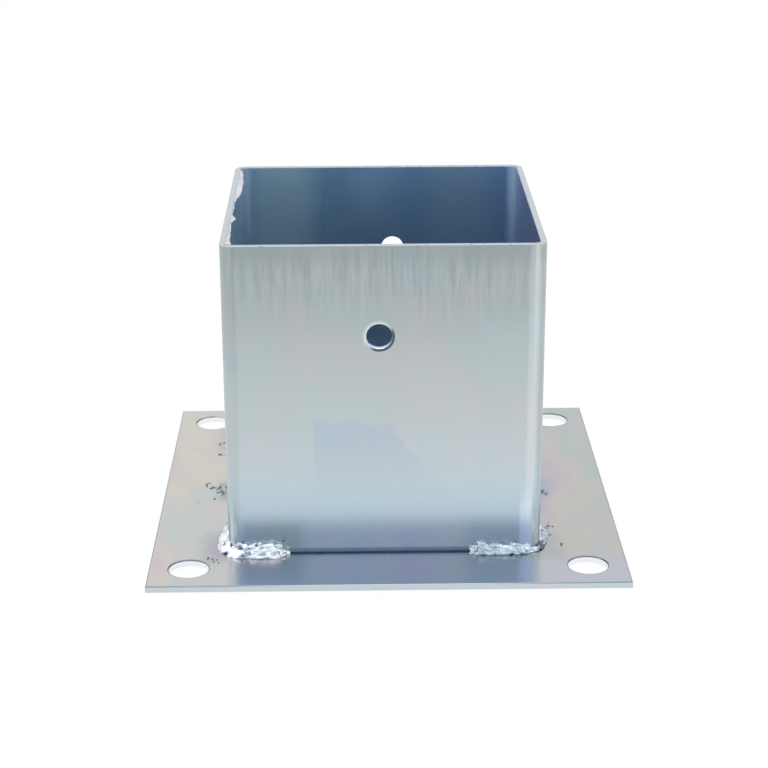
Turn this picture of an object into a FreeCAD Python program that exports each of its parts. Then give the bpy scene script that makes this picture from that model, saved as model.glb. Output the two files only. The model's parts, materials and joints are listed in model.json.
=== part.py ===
"""Bolt-down base for a square timber post: a square steel sleeve welded upright on a square anchor plate.

Millimetres, +Z up. The origin is the centre of the plate's underside, the front of the object faces -Y.
The sleeve is a length of cold-formed square tube with rounded corners. It is held by one lumpy fillet weld
round each foot corner and by a short tack in the middle of each side wall. Each piece is written to
parts/NODE.step.
"""

import math
import os

import FreeCAD
import Part

# ---- anchor plate ----
PLATE_SIDE = 150.0
PLATE_THICKNESS = 2.0
PLATE_EDGE_BREAK = 0.25  # edge that shearing rolls over on the upper face
ANCHOR_SPACING = 125.0  # hole to hole, the same both ways
ANCHOR_HOLE_DIAMETER = 12.5
ANCHOR_RIM_BREAK = 0.3  # edge that punching breaks on the upper rim

# ---- sleeve ----
SLEEVE_SIDE = 99.4  # outside, a little under the nominal 100
SLEEVE_WALL = 2.0
SLEEVE_CORNER_RADIUS = 4.0  # outside, twice the wall
SLEEVE_HEIGHT = 101.1
SLEEVE_SHIFT = (-1.1, -1.3)  # welded slightly off the plate's centre
RIM_BREAK = 0.2  # dulled outer and inner edges of the sawn rim

# Screw holes, one in the front wall and one in the rear wall. They are not on one line.
SCREW_HOLE_DIAMETER = 7.8
SCREW_HOLE_DROP = 29.0  # hole centre below the rim
FRONT_HOLE_SHIFT = -1.4  # sideways from the sleeve's axis, along +X
REAR_HOLE_SHIFT = 4.6
SCREW_RIM_BREAK = 0.55  # edge broken on the outer rim

# The sawn foot touches the plate near its corners and leaves a narrow gap between them
FOOT_SEAT = 14.0  # seat length from each outer corner
FOOT_GAP = 0.9

# Torn burr that the saw left along the inner edge of the left wall: how far it reaches inward, from the
# front end of the edge to the rear end in equal steps
BURR_REACH = (1.6, 1.0, 0.9, 0.7, 0.3, 1.5, 0.2, 0.5, 0.3, 0.4, 1.4, 1.8, 1.7, 1.8, 1.5, 1.2, 0.5)
BURR_THICKNESS = 0.4
BURR_ROOT = 0.6  # how far the burr overlaps the wall
BURR_DROP = 0.3  # its upper face below the rim

# ---- welds ----
# A corner bead follows the sleeve's outline round a foot corner. Its height on the wall and its width on the
# plate swell and shrink along the way, each to its own rhythm, and both drop where its two passes meet.
CORNER_BEADS = {
    # node: (quarter turns from the rear right corner, length on the wall before the corner and on the wall
    # after it, counted anticlockwise, phase of the lumps)
    "weld_rear_right": (0, 20.0, 18.0, 0.4),
    "weld_rear_left": (1, 19.0, 20.0, 2.9),
    "weld_front_left": (2, 23.5, 14.5, 1.3),
    "weld_front_right": (3, 18.5, 25.0, 4.4),
}
TACK_BEADS = {"tack_left": (2, 2.2), "tack_right": (0, 5.1)}  # node: (quarter turns, phase)
TACK_LENGTH = 13.0
TACK_SHIFT_Y = -1.5  # middle of a tack from the sleeve's axis
BEAD_LEG = 4.1  # mean height and width
LUMP_SWELL = 0.6
LUMP_LENGTH = 8.7  # of the width; the height swells over a shorter one
LUMP_RHYTHM = 0.71
BEAD_BULGE = 0.64  # crown of the bead's face, in legs from the root; 0.5 would be a flat face
BEAD_SINK = 0.5  # how far a section starts inside the wall and the plate
BEAD_TAPER = 5.0  # length over which an end shrinks
BEAD_END = 0.42  # size left at the very end
CORNER_DIP = 0.3  # share of the leg that is missing where the two passes meet
CORNER_DIP_LENGTH = 1.8
STATION_PITCH = 1.0  # between the sections; straight runs between them are the bead's ripples
BEAD_LIMIT = 12.0  # height of the block that keeps what lies above the plate

Vec = FreeCAD.Vector
UP = Vec(0, 0, 1)
SLEEVE_FOOT = Vec(*SLEEVE_SHIFT, PLATE_THICKNESS)


def edges_at_height(shape, z):
    """The edges of a shape that lie level at height z."""
    return [e for e in shape.Edges if abs(e.BoundBox.ZMin - z) < 1e-6 and abs(e.BoundBox.ZMax - z) < 1e-6]


def rounded_square_prism(side, radius, height):
    """An upright prism on a square with arc corners, standing on z = 0."""
    half = side / 2
    prism = Part.makeBox(side, side, height, Vec(-half, -half, 0))
    upright = [e for e in prism.Edges if e.BoundBox.ZLength > height / 2]
    return prism.makeFillet(radius, upright)


def make_base_plate():
    """Sheared plate with a punched anchor hole near each corner."""
    half = PLATE_SIDE / 2
    plate = Part.makeBox(PLATE_SIDE, PLATE_SIDE, PLATE_THICKNESS, Vec(-half, -half, 0))
    plate = plate.makeChamfer(PLATE_EDGE_BREAK, edges_at_height(plate, PLATE_THICKNESS))
    reach = ANCHOR_SPACING / 2
    for x in (-reach, reach):
        for y in (-reach, reach):
            punch = Part.makeCylinder(ANCHOR_HOLE_DIAMETER / 2, PLATE_THICKNESS, Vec(x, y, 0))
            plate = plate.cut(punch)
    rims = [e for e in edges_at_height(plate, PLATE_THICKNESS) if isinstance(e.Curve, Part.Circle)]
    return plate.makeChamfer(ANCHOR_RIM_BREAK, rims)


def make_tube():
    """Sawn length of square tube with dulled rim edges."""
    outer = rounded_square_prism(SLEEVE_SIDE, SLEEVE_CORNER_RADIUS, SLEEVE_HEIGHT)
    inner = rounded_square_prism(
        SLEEVE_SIDE - 2 * SLEEVE_WALL, SLEEVE_CORNER_RADIUS - SLEEVE_WALL, SLEEVE_HEIGHT
    )
    tube = outer.cut(inner)
    return tube.makeChamfer(RIM_BREAK, edges_at_height(tube, SLEEVE_HEIGHT))


def drill_screw_holes(tube):
    """Cuts one hole through the front wall and one through the rear wall and breaks their outer rims."""
    face = SLEEVE_SIDE / 2
    for shift, side in ((FRONT_HOLE_SHIFT, -1), (REAR_HOLE_SHIFT, 1)):
        start = Vec(shift, side * face / 2, SLEEVE_HEIGHT - SCREW_HOLE_DROP)
        tube = tube.cut(Part.makeCylinder(SCREW_HOLE_DIAMETER / 2, face, start, Vec(0, side, 0)))
    rims = []
    for edge in tube.Edges:
        box = edge.BoundBox
        if isinstance(edge.Curve, Part.Circle) and box.YLength < 1e-6 and abs(abs(box.YMin) - face) < 1e-6:
            rims.append(edge)
    return tube.makeChamfer(SCREW_RIM_BREAK, rims)


def relieve_foot(tube):
    """Leaves the foot standing on its corners."""
    gap = SLEEVE_SIDE - 2 * FOOT_SEAT
    along_x = Part.makeBox(gap, 2 * SLEEVE_SIDE, FOOT_GAP, Vec(-gap / 2, -SLEEVE_SIDE, 0))
    along_y = Part.makeBox(2 * SLEEVE_SIDE, gap, FOOT_GAP, Vec(-SLEEVE_SIDE, -gap / 2, 0))
    return tube.cut(along_x).cut(along_y)


def make_burr():
    """Thin ragged lip along the inner edge of the left wall, just under the rim."""
    edge_x = SLEEVE_WALL - SLEEVE_SIDE / 2
    end = SLEEVE_SIDE / 2 - SLEEVE_CORNER_RADIUS
    step = 2 * end / (len(BURR_REACH) - 1)
    z = SLEEVE_HEIGHT - BURR_DROP - BURR_THICKNESS
    ragged = [Vec(edge_x + reach, -end + i * step, z) for i, reach in enumerate(BURR_REACH)]
    root = [Vec(edge_x - BURR_ROOT, end, z), Vec(edge_x - BURR_ROOT, -end, z)]
    outline = Part.makePolygon(ragged + root + ragged[:1])
    return Part.Face(outline).extrude(UP * BURR_THICKNESS)


def make_sleeve():
    """The tube with its screw holes, its foot gap and its saw burr."""
    sleeve = relieve_foot(drill_screw_holes(make_tube())).fuse(make_burr())
    sleeve.translate(SLEEVE_FOOT)
    return sleeve


def outline_at(s):
    """Point on the tube's outline and its outward direction, s along it from the middle of a corner."""
    flat = SLEEVE_SIDE / 2 - SLEEVE_CORNER_RADIUS
    half_arc = SLEEVE_CORNER_RADIUS * math.pi / 4
    along = min(max(s, -half_arc), half_arc)
    angle = math.pi / 4 + along / SLEEVE_CORNER_RADIUS
    outward = Vec(math.cos(angle), math.sin(angle), 0)
    onward = UP.cross(outward) * (s - along)
    return Vec(flat, flat, 0) + outward * SLEEVE_CORNER_RADIUS + onward, outward


def bead_legs(s, start, stop, phase, dip):
    """Height on the wall and width on the plate of a bead that runs from start to stop."""
    room = max(min(s - start, stop - s, BEAD_TAPER), 0.0) / BEAD_TAPER
    size = BEAD_END + (1 - BEAD_END) * math.sqrt(1 - (1 - room) ** 2)
    size *= 1 - dip * math.exp(-((s / CORNER_DIP_LENGTH) ** 2))
    turn = 2 * math.pi * s / LUMP_LENGTH
    height = BEAD_LEG + LUMP_SWELL * math.sin(turn / LUMP_RHYTHM + 2 * phase)
    width = BEAD_LEG + LUMP_SWELL * math.sin(turn + phase)
    return height * size, width * size


def bead_section(point, outward, height, width):
    """Closed outline across a bead: up inside the wall, over the bulging face, back under the plate's top."""
    root = point - (outward + UP) * BEAD_SINK
    top = root + UP * (height + BEAD_SINK)
    toe = root + outward * (width + BEAD_SINK)
    crown = point + (outward * width + UP * height) * BEAD_BULGE
    face = Part.Arc(top, crown, toe).toShape()
    return Part.Wire([Part.makeLine(root, top), face, Part.makeLine(toe, root)])


def make_bead(start, stop, phase, dip, turns):
    """Lofts a bead along the tube's outline and keeps what lies above the plate and outside the tube."""
    count = math.ceil((stop - start) / STATION_PITCH)
    sections = []
    for i in range(count + 1):
        s = start + (stop - start) * i / count
        sections.append(bead_section(*outline_at(s), *bead_legs(s, start, stop, phase, dip)))
    bead = Part.makeLoft(sections, True, True)
    tube = rounded_square_prism(SLEEVE_SIDE, SLEEVE_CORNER_RADIUS, BEAD_LIMIT)
    room = Part.makeBox(SLEEVE_SIDE, SLEEVE_SIDE, BEAD_LIMIT, Vec(0, -SLEEVE_SIDE / 4, 0))
    bead = bead.common(room.cut(tube))
    bead.rotate(Vec(), UP, 90 * turns)
    bead.translate(SLEEVE_FOOT)
    return bead


def make_corner_bead(turns, before, after, phase):
    """Bead round one foot corner."""
    half_arc = SLEEVE_CORNER_RADIUS * math.pi / 4
    return make_bead(-before - half_arc, after + half_arc, phase, CORNER_DIP, turns)


def make_tack(turns, phase):
    """Short bead in the middle of a side wall."""
    corner_to_axis = SLEEVE_SIDE / 2 - SLEEVE_CORNER_RADIUS + SLEEVE_CORNER_RADIUS * math.pi / 4
    shift = TACK_SHIFT_Y if turns == 0 else -TACK_SHIFT_Y
    middle = shift - corner_to_axis
    return make_bead(middle - TACK_LENGTH / 2, middle + TACK_LENGTH / 2, phase, 0.0, turns)


def write(node, shape):
    """Checks that a piece is one closed solid and writes it to parts/."""
    if not shape.isValid() or len(shape.Solids) != 1:
        raise ValueError(f"{node}: not one valid solid, but {len(shape.Solids)}")
    shape.Solids[0].exportStep(f"parts/{node}.step")
    box = shape.BoundBox
    print(f"{node}: {shape.Volume / 1000:.3f} cm3, {len(shape.Faces)} faces, z {box.ZMin:.2f} to {box.ZMax:.2f}")


def main():
    """Builds every piece and writes it."""
    os.makedirs("parts", exist_ok=True)
    write("base_plate", make_base_plate())
    write("sleeve", make_sleeve())
    for node, (turns, before, after, phase) in CORNER_BEADS.items():
        write(node, make_corner_bead(turns, before, after, phase))
    for node, (turns, phase) in TACK_BEADS.items():
        write(node, make_tack(turns, phase))


main()
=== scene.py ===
"""Dressed model of a bolt-down timber post base in zinc-plated steel.

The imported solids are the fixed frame: the anchor plate, the square sleeve, four corner welds and two tacks. This
script builds finer pieces in their places, gives each a worked finish, and lights them in a white studio.
Meshes are in metres and finishes measure in millimetres. +Z is up and the front of the object faces -Y.
"""

import json
import logging
import math
import random
from collections.abc import Iterable, Sequence
from dataclasses import dataclass, field
from enum import Enum

import bmesh
import bpy
from mathutils import Matrix, Vector, noise


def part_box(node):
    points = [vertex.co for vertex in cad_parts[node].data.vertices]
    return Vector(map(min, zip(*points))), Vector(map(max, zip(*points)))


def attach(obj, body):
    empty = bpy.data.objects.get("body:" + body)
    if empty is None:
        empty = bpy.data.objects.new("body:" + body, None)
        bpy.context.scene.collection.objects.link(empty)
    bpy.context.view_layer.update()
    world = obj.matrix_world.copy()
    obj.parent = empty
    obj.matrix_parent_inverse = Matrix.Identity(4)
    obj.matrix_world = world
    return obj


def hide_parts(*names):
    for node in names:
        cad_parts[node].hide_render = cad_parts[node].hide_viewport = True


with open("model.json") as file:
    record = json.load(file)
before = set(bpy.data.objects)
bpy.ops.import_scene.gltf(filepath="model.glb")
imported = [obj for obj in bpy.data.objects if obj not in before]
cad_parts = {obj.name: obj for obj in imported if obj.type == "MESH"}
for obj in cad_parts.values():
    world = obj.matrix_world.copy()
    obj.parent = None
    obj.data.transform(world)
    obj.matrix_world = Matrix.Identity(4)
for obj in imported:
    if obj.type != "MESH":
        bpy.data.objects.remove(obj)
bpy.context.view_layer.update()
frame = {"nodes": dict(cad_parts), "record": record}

LOG = logging.getLogger("post_base")
BODY = "root"
HOLLOW = "hollow"  # point attribute: on the welds, how much painted shade a point gets for lying deep in creases and pits, and in the void; on the burr, random dark patches
MM = 0.001
NEAR = 1e-6  # lengths in metres that differ by less count as equal

Colour = tuple[float, float, float]
Triple = tuple[float, float, float]
Span = tuple[float, float]


# ---------------------------------------------------------------- shader graph


class Mixing(Enum):
    """How one colour is laid over another."""

    COVER = "MIX"
    MULTIPLY = "MULTIPLY"


class Graph:
    """Node tree of one material or world, with the one method that makes its nodes."""

    def __init__(self, tree: bpy.types.NodeTree) -> None:
        """Empties the tree.

        Args:
            tree: the node tree to fill.
        """
        self.tree = tree
        tree.nodes.clear()

    def node(
        self,
        kind: str,
        settings: dict[str, object] | None = None,
        inputs: "dict[str | int, Operand] | None" = None,
    ) -> bpy.types.Node:
        """Makes a node.

        Args:
            kind: the node's type, without its ShaderNode prefix.
            settings: properties of the node, or a ramp's stops, set before its sockets.
            inputs: a number, colour or link for each socket, by name or place.

        Returns:
            The new node.
        """
        made = self.tree.nodes.new("ShaderNode" + kind)
        for name, setting in (settings or {}).items():
            if name == "stops":
                self._set_stops(made.color_ramp, setting)
            else:
                setattr(made, name, setting)
        for key, given in (inputs or {}).items():
            if isinstance(given, Value):
                self.tree.links.new(given.socket, made.inputs[key])
            elif isinstance(given, tuple) and len(given) == 3 and made.inputs[key].type == "RGBA":
                made.inputs[key].default_value = (*given, 1.0)
            else:
                made.inputs[key].default_value = given
        return made

    @staticmethod
    def _set_stops(ramp: bpy.types.ColorRamp, stops: Sequence[tuple[float, Colour]]) -> None:
        """Fills a colour ramp.

        Args:
            ramp: the ramp.
            stops: its places from 0 to 1, each with a colour.
        """
        while len(ramp.elements) < len(stops):
            ramp.elements.new(1.0)
        for element, (place, colour) in zip(ramp.elements, stops):
            element.position = place
            element.color = (*colour, 1.0)

    def value(
        self,
        kind: str,
        settings: dict[str, object] | None = None,
        inputs: "dict[str | int, Operand] | None" = None,
        output: str | int = 0,
    ) -> "Value":
        """Makes a node and wraps one of its outputs.

        Args:
            kind: as for node().
            settings: as for node().
            inputs: as for node().
            output: the output's name or place.

        Returns:
            The wrapped output socket.
        """
        return Value(self, self.node(kind, settings, inputs).outputs[output])

    def place(self) -> "Value":
        """The point being shaded, in the object's own coordinates in metres."""
        return self.value("TexCoord", output="Object")

    def axes(self, point: "Value") -> "tuple[Value, Value, Value]":
        """The three numbers of a point."""
        split = self.node("SeparateXYZ", inputs={0: point})
        return tuple(Value(self, socket) for socket in split.outputs)

    def millimetres(self, point: "Value") -> "tuple[Value, Value, Value]":
        """The three numbers of a point given in metres, in millimetres."""
        return tuple(part * (1.0 / MM) for part in self.axes(point))

    def ramp(self, factor: "Operand", stops: Sequence[tuple[float, Colour]]) -> "Value":
        """A colour from a ramp."""
        return self.value("ValToRGB", {"stops": stops}, {0: factor})

    def blend(
        self, factor: "Operand", first: "Operand", second: "Operand", how: Mixing = Mixing.COVER
    ) -> "Value":
        """Mixes two colours.

        Args:
            factor: how much of the second is laid on, from 0 to 1.
            first: the colour below, or a link to one.
            second: the colour on top, or a link to one.
            how: how it is laid on.

        Returns:
            The mixed colour.
        """
        settings = {"data_type": "RGBA", "blend_type": how.value, "clamp_factor": True}
        colour_sockets = {0: factor, 6: first, 7: second}
        return self.value("Mix", settings, colour_sockets, output=2)

    def bump(self, height: "Operand", depth: float) -> "Value":
        """A normal tilted by a height whose unit is the given depth in metres."""
        return self.value("Bump", inputs={"Height": height, "Distance": depth, "Strength": 1.0})

    def metal(self, colour: "Operand", roughness: "Operand", normal: "Value") -> "Value":
        """A bare metal surface."""
        inputs = {"Base Color": colour, "Roughness": roughness, "Metallic": 1.0, "Normal": normal}
        return self.value("BsdfPrincipled", inputs=inputs)


@dataclass(frozen=True)
class Value:
    """Output socket of a node; arithmetic on it adds Math nodes."""

    graph: Graph
    socket: bpy.types.NodeSocket

    def _math(self, operation: str, *operands: "Operand") -> "Value":
        """A Math node on numbers and sockets."""
        return self.graph.value("Math", {"operation": operation}, dict(enumerate(operands)))

    def __add__(self, other: "Operand") -> "Value":
        """self + other."""
        return self._math("ADD", self, other)

    __radd__ = __add__

    def __sub__(self, other: "Operand") -> "Value":
        """self - other."""
        return self._math("SUBTRACT", self, other)

    def __rsub__(self, other: "Operand") -> "Value":
        """other - self."""
        return self._math("SUBTRACT", other, self)

    def __mul__(self, other: "Operand") -> "Value":
        """self * other."""
        return self._math("MULTIPLY", self, other)

    __rmul__ = __mul__

    def __abs__(self) -> "Value":
        """Distance of self from zero."""
        return self._math("ABSOLUTE", self)

    def __pow__(self, other: "Operand") -> "Value":
        """self to the power of other."""
        return self._math("POWER", self, other)

    def at_most(self, other: "Operand") -> "Value":
        """The smaller of two numbers."""
        return self._math("MINIMUM", self, other)

    def at_least(self, other: "Operand") -> "Value":
        """The larger of two numbers."""
        return self._math("MAXIMUM", self, other)

    def centred(self) -> "Value":
        """Noise about zero instead of about its mean of a half."""
        return self - 0.5

    def rise(self, low: float, high: float) -> "Value":
        """Smooth step from 0 at low to 1 at high."""
        inputs = {"Value": self, "From Min": low, "From Max": high}
        return self.graph.value("MapRange", {"interpolation_type": "SMOOTHSTEP"}, inputs)

    def fall(self, low: float, high: float) -> "Value":
        """Smooth step from 1 at low to 0 at high."""
        return 1.0 - self.rise(low, high)

    def band(self, low: float, high: float, soft: float) -> "Value":
        """1 between low and high, with soft edges."""
        return self.rise(low - soft, low + soft) * self.fall(high - soft, high + soft)


Operand = Value | float | tuple


@dataclass(frozen=True)
class Grain:
    """Noise from 0 to 1, with its scale in features a metre, the same each way or one for each axis."""

    scale: float | Triple
    detail: float = 2.0
    roughness: float = 0.5
    distortion: float = 0.0
    shift: Triple = (0.0, 0.0, 0.0)

    def at(self, point: Value) -> Value:
        """Draws the noise.

        Args:
            point: where it is read, in metres.

        Returns:
            The noise there.
        """
        scale = self.scale
        if isinstance(scale, tuple):
            inputs = {"Vector": point, "Location": self.shift, "Scale": scale}
            point = point.graph.value("Mapping", inputs=inputs)
            scale = 1.0
        inputs = {"Vector": point, "Scale": scale, "Detail": self.detail, "Roughness": self.roughness,
                  "Distortion": self.distortion}
        return point.graph.value("TexNoise", inputs=inputs)


@dataclass(frozen=True)
class Wash:
    """A colour laid over a surface wherever a mask lets it."""

    colour: Colour
    strength: float = 1.0

    def over(self, tint: Value, mask: Value) -> Value:
        """The tint with this colour on it where the mask is 1."""
        return tint.graph.blend(mask * self.strength, tint, self.colour)


# ---------------------------------------------------------------- finishes


class Finish:
    """A named material whose graph a subclass draws."""

    name = "finish"

    def draw(self, graph: Graph) -> Value:
        """Draws the surface.

        Args:
            graph: the material's graph.

        Returns:
            The shader that goes to the output.
        """
        raise NotImplementedError

    def material(self) -> bpy.types.Material:
        """Makes the Blender material.

        Returns:
            The material, with its graph drawn.
        """
        made = bpy.data.materials.new(self.name)
        made.use_nodes = True
        graph = Graph(made.node_tree)
        graph.node("OutputMaterial", inputs={"Surface": self.draw(graph)})
        return made


@dataclass(frozen=True)
class SleevePoint:
    """The point of the sleeve being shaded: its place in metres, and the rest in millimetres."""

    point: Value
    x: Value
    z: Value
    away: Value  # right of the sleeve's middle
    in_x: Value  # in from the nearer side face
    in_y: Value  # in from the nearer of the front and rear faces
    behind: Value  # behind the front face
    down: Value  # below the rim


@dataclass(frozen=True)
class SleeveZinc(Finish):
    """Blue-passivated zinc on drawn tube: streaks under the rim, drifting tints, a bluer patch, a deep blue bore,
    and painted shade, highlights and reflections.

    Lengths are in millimetres, and a span is where a change starts and ends. A wash's mask comes from the spans
    that follow it.
    """

    middle: Span
    half: float
    top: float
    hole: Triple  # x and z of the front screw hole's middle, and its radius
    name: str = "sleeve_zinc"
    roughness: float = 0.27

    skin: Span = (1.4, 1.6)
    rim_skin: Span = (0.0, 0.2)
    face: Span = (1.0, 3.0)
    face_and_bends: Span = (3.5, 5.5)

    grey: Colour = (0.520, 0.560, 0.560)
    blue: Colour = (0.515, 0.595, 0.655)
    green: Colour = (0.500, 0.575, 0.560)
    warm: Colour = (0.550, 0.560, 0.555)
    drift: Grain = Grain(24.0, detail=3.0, roughness=0.55, distortion=0.5)

    # painted reflection: the lower walls are tinted bluer, with a deeper blue band low down, standing in for the
    # bluish room they mirror
    low: Wash = Wash((0.540, 0.632, 0.690), 0.8)
    low_top: Span = (14.0, 60.0)
    dusk_reflection: Wash = Wash((0.410, 0.600, 0.720), 0.3)
    dusk_foot: Span = (6.0, 16.0)
    dusk_top: Span = (18.0, 30.0)
    blotch: Wash = Wash((0.455, 0.530, 0.610), 0.6)
    blotch_side: Span = (-47.0, -43.0)
    blotch_height: Triple = (64.0, 69.0, 3.0)

    # a bluer patch low on the front wall, sharp on its left edge and ragged above
    blue_patch: Wash = Wash((0.455, 0.530, 0.610), 0.75)
    blue_patch_grain: Grain = Grain((120.0, 120.0, 95.0), detail=3.0)
    stain_left: float = -23.0
    stain_left_edge: Span = (-0.45, 0.25)
    stain_left_wander: float = 0.8
    blue_patch_slope: float = 0.05
    blue_patch_shoulder: float = 0.5
    blue_patch_fall: float = 1.35
    blue_patch_dip: Triple = (-18.0, -12.0, 2.0)
    blue_patch_dip_depth: float = 2.5
    blue_patch_top: Span = (45.5, 49.0)
    blue_patch_ragged: float = 18.0
    blue_patch_foot: Span = (18.0, 44.0)

    streak_dark: Wash = Wash((0.390, 0.450, 0.440), 0.75)
    streak_pale: Wash = Wash((0.640, 0.670, 0.665), 0.70)
    streaks_tall: Grain = Grain((470.0, 470.0, 34.0))
    streaks_short: Grain = Grain((820.0, 820.0, 85.0), detail=1.0, shift=(3.0, 1.0, 2.0))
    streak_ends: Grain = Grain((170.0, 170.0, 0.0), detail=3.0, roughness=0.7)
    streak_length: float = 19.0
    streak_ragged: float = 22.0
    streak_fade: Span = (-8.0, 17.0)
    tall_dark: Span = (0.52, 0.61)
    short_dark: Span = (0.56, 0.65)
    short_dark_share: float = 0.7
    tall_pale: Span = (0.38, 0.47)
    short_pale: Span = (0.34, 0.43)
    pale_share: float = 0.8

    # painted shade: the outer walls darken towards the rim, more at the sides
    under_rim_shade: Wash = Wash((0.400, 0.460, 0.440))
    under_sides: Span = (9.7, 37.7)
    under_close: Span = (1.0, 10.0)
    under_close_shares: Span = (0.38, 0.22)  # everywhere, and more at the sides
    under_wide: Span = (16.0, 34.0)
    under_wide_shares: Span = (0.05, 0.12)

    # painted highlights on the front's right bend: a pale band, and a bluish glint low down
    right_bend_highlight: Wash = Wash((0.760, 0.790, 0.810), 0.38)
    right_bend_highlight_place: Triple = (2.6, 5.2, 0.6)
    painted_gleam: Wash = Wash((0.800, 0.900, 1.000), 0.6)
    gleam_place: Triple = (3.0, 6.8, 0.7)
    gleam_top: Span = (11.0, 27.0)
    # painted shade on the bends of the front wall: the right one, and the left one more towards the top
    bend: Wash = Wash((0.300, 0.340, 0.350))
    right_bend: Span = (1.2, 2.4)
    right_bend_share: float = 0.4
    left_bend: Span = (3.2, 5.2)
    left_bend_shares: Span = (0.22, 0.35)  # at the foot, and more at the top
    left_bend_rise: Span = (50.0, 90.0)

    # painted shade: a darker grey-green band low on the front and rear walls over the corner welds, more on the
    # left, standing in for the reflection of the beads and the burned sheet
    above_weld_shade: Wash = Wash((0.350, 0.430, 0.425))
    above_weld_inner: Span = (20.0, 27.0)
    above_weld_outer: Span = (3.8, 6.0)
    above_weld_top: Span = (8.0, 17.0)
    above_weld_ragged: float = 12.0
    heat_left: Span = (-20.0, 0.0)
    above_weld_shares: Span = (0.35, 0.3)  # everywhere, and more on the left
    # painted shadow: the wall's lowest millimetre or so, over the gap at its foot, is darkened navy
    foot_shade: Wash = Wash((0.130, 0.170, 0.250), 0.6)
    foot_shade_top: Span = (3.0, 3.8)

    # painted light round the front hole: a highlight on the rolled edge above left, a shadow below right, and a pale
    # lit wall inside
    hole_highlight: Wash = Wash((0.900, 0.920, 0.930), 0.6)
    hole_highlight_reach: Span = (0.4, 1.6)
    hole_highlight_side: Span = (-0.2, 0.5)
    hole_shadow: Wash = Wash((0.050, 0.070, 0.090), 0.9)
    hole_shadow_place: Triple = (0.12, 0.90, 0.15)
    hole_shadow_side: Span = (-0.4, 0.0)
    hole_face: Span = (1.0, 1.4)
    hole_wall_highlight: Wash = Wash((0.900, 0.920, 0.930), 0.7)
    hole_wall_highlight_edge: Span = (0.05, 0.20)
    hole_wall_depth: Span = (4.0, 5.0)

    bore: Colour = (0.530, 0.735, 0.920)
    bore_grain: Grain = Grain(34.0, distortion=0.4)
    bore_wander: float = 8.0
    bore_pale: Wash = Wash((0.830, 0.980, 1.000))
    pale_left: Triple = (-46.0, -24.0, 6.0)
    pale_left_share: float = 0.85
    pale_right: Triple = (16.0, 36.0, 6.0)
    pale_right_share: float = 0.48
    pale_clouds: Span = (0.5, 0.7)
    pale_cloud_share: float = 0.15
    bore_deep: Wash = Wash((0.560, 0.680, 0.740))
    deep_top: Span = (40.0, 78.0)
    # painted highlight: pale bands on the inner bends, more near the top and on the right
    rib_highlight: Wash = Wash((0.880, 0.960, 1.000))
    rib_in_x: Span = (3.8, 6.0)
    rib_in_y: Span = (3.0, 4.6)
    rib_rise: Span = (60.0, 100.0)
    rib_right: Span = (0.0, 10.0)
    rib_shares: Span = (0.30, 0.10)  # at the top, and more on the right
    bore_shade: Wash = Wash((0.500, 0.560, 0.830))
    shade_from: Span = (44.0, 46.0)
    shade_in_y: Span = (3.0, 5.0)
    cloudy_rib_share: float = 0.8
    cloudy_left: Triple = (-44.0, -24.0, 6.0)
    cloudy_left_share: float = 0.05

    sawn: Wash = Wash((0.500, 0.545, 0.580))
    sawn_depth: Span = (0.10, 0.35)
    nick: Wash = Wash((0.250, 0.245, 0.250), 0.6)
    nick_grain: Grain = Grain(560.0)
    nick_rise: Span = (0.63, 0.70)

    fine: Grain = Grain(1400.0)
    fine_rough: float = 0.02
    streak_rough: float = 0.04
    cloudy_rough: float = 0.5
    ease_from: float = 8.7
    ease_run: float = 4.0
    ease_most: float = 2.0
    ease_depth: float = 0.22
    streak_height: float = 0.003
    ripple: Grain = Grain((60.0, 60.0, 14.0), detail=1.0)
    ripple_height: float = 0.05
    fine_height: float = 0.0003

    def _measured(self, graph: Graph) -> SleevePoint:
        """Measures the point being shaded.

        Args:
            graph: the material's graph.

        Returns:
            The point and its distances.
        """
        point = graph.place()
        x, y, z = graph.millimetres(point)
        middle_x, middle_y = self.middle
        away = x - middle_x
        return SleevePoint(
            point=point,
            x=x,
            z=z,
            away=away,
            in_x=self.half - abs(away),
            in_y=self.half - abs(y - middle_y),
            behind=y - (middle_y - self.half),
            down=self.top - z,
        )

    def _streaks(self, at: SleevePoint) -> tuple[Value, Value]:
        """Draws the fine upright streaks under the rim.

        Args:
            at: the point.

        Returns:
            How dark and how pale the streaks make it.
        """
        tall = self.streaks_tall.at(at.point)
        short = self.streaks_short.at(at.point)
        ragged = self.streak_ends.at(at.point).centred() * self.streak_ragged
        near = (self.streak_length - at.down + ragged).rise(*self.streak_fade)
        dark = tall.rise(*self.tall_dark) + short.rise(*self.short_dark) * self.short_dark_share
        pale = tall.fall(*self.tall_pale) * self.pale_share + short.fall(*self.short_pale) * self.pale_share
        return near * dark.at_most(1.0), near * pale.at_most(1.0)

    def _blue_patch_mask(self, at: SleevePoint) -> Value:
        """Draws the bluer patch low on the front wall, sharp on its left edge and ragged above.

        Args:
            at: the point.

        Returns:
            The patch's mask.
        """
        wander = self.blue_patch_grain.at(at.point).centred()
        across = at.x - self.stain_left
        shoulder = (at.x - self.blue_patch_shoulder).at_least(0.0) * self.blue_patch_fall
        dip = at.x.band(*self.blue_patch_dip) * self.blue_patch_dip_depth
        height = at.z + across * self.blue_patch_slope + shoulder + dip
        below = (height + wander * self.blue_patch_ragged).fall(*self.blue_patch_top)
        left = (across + wander * self.stain_left_wander).rise(*self.stain_left_edge)
        return below * left * at.behind.fall(*self.face) * at.z.rise(*self.blue_patch_foot)

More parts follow.
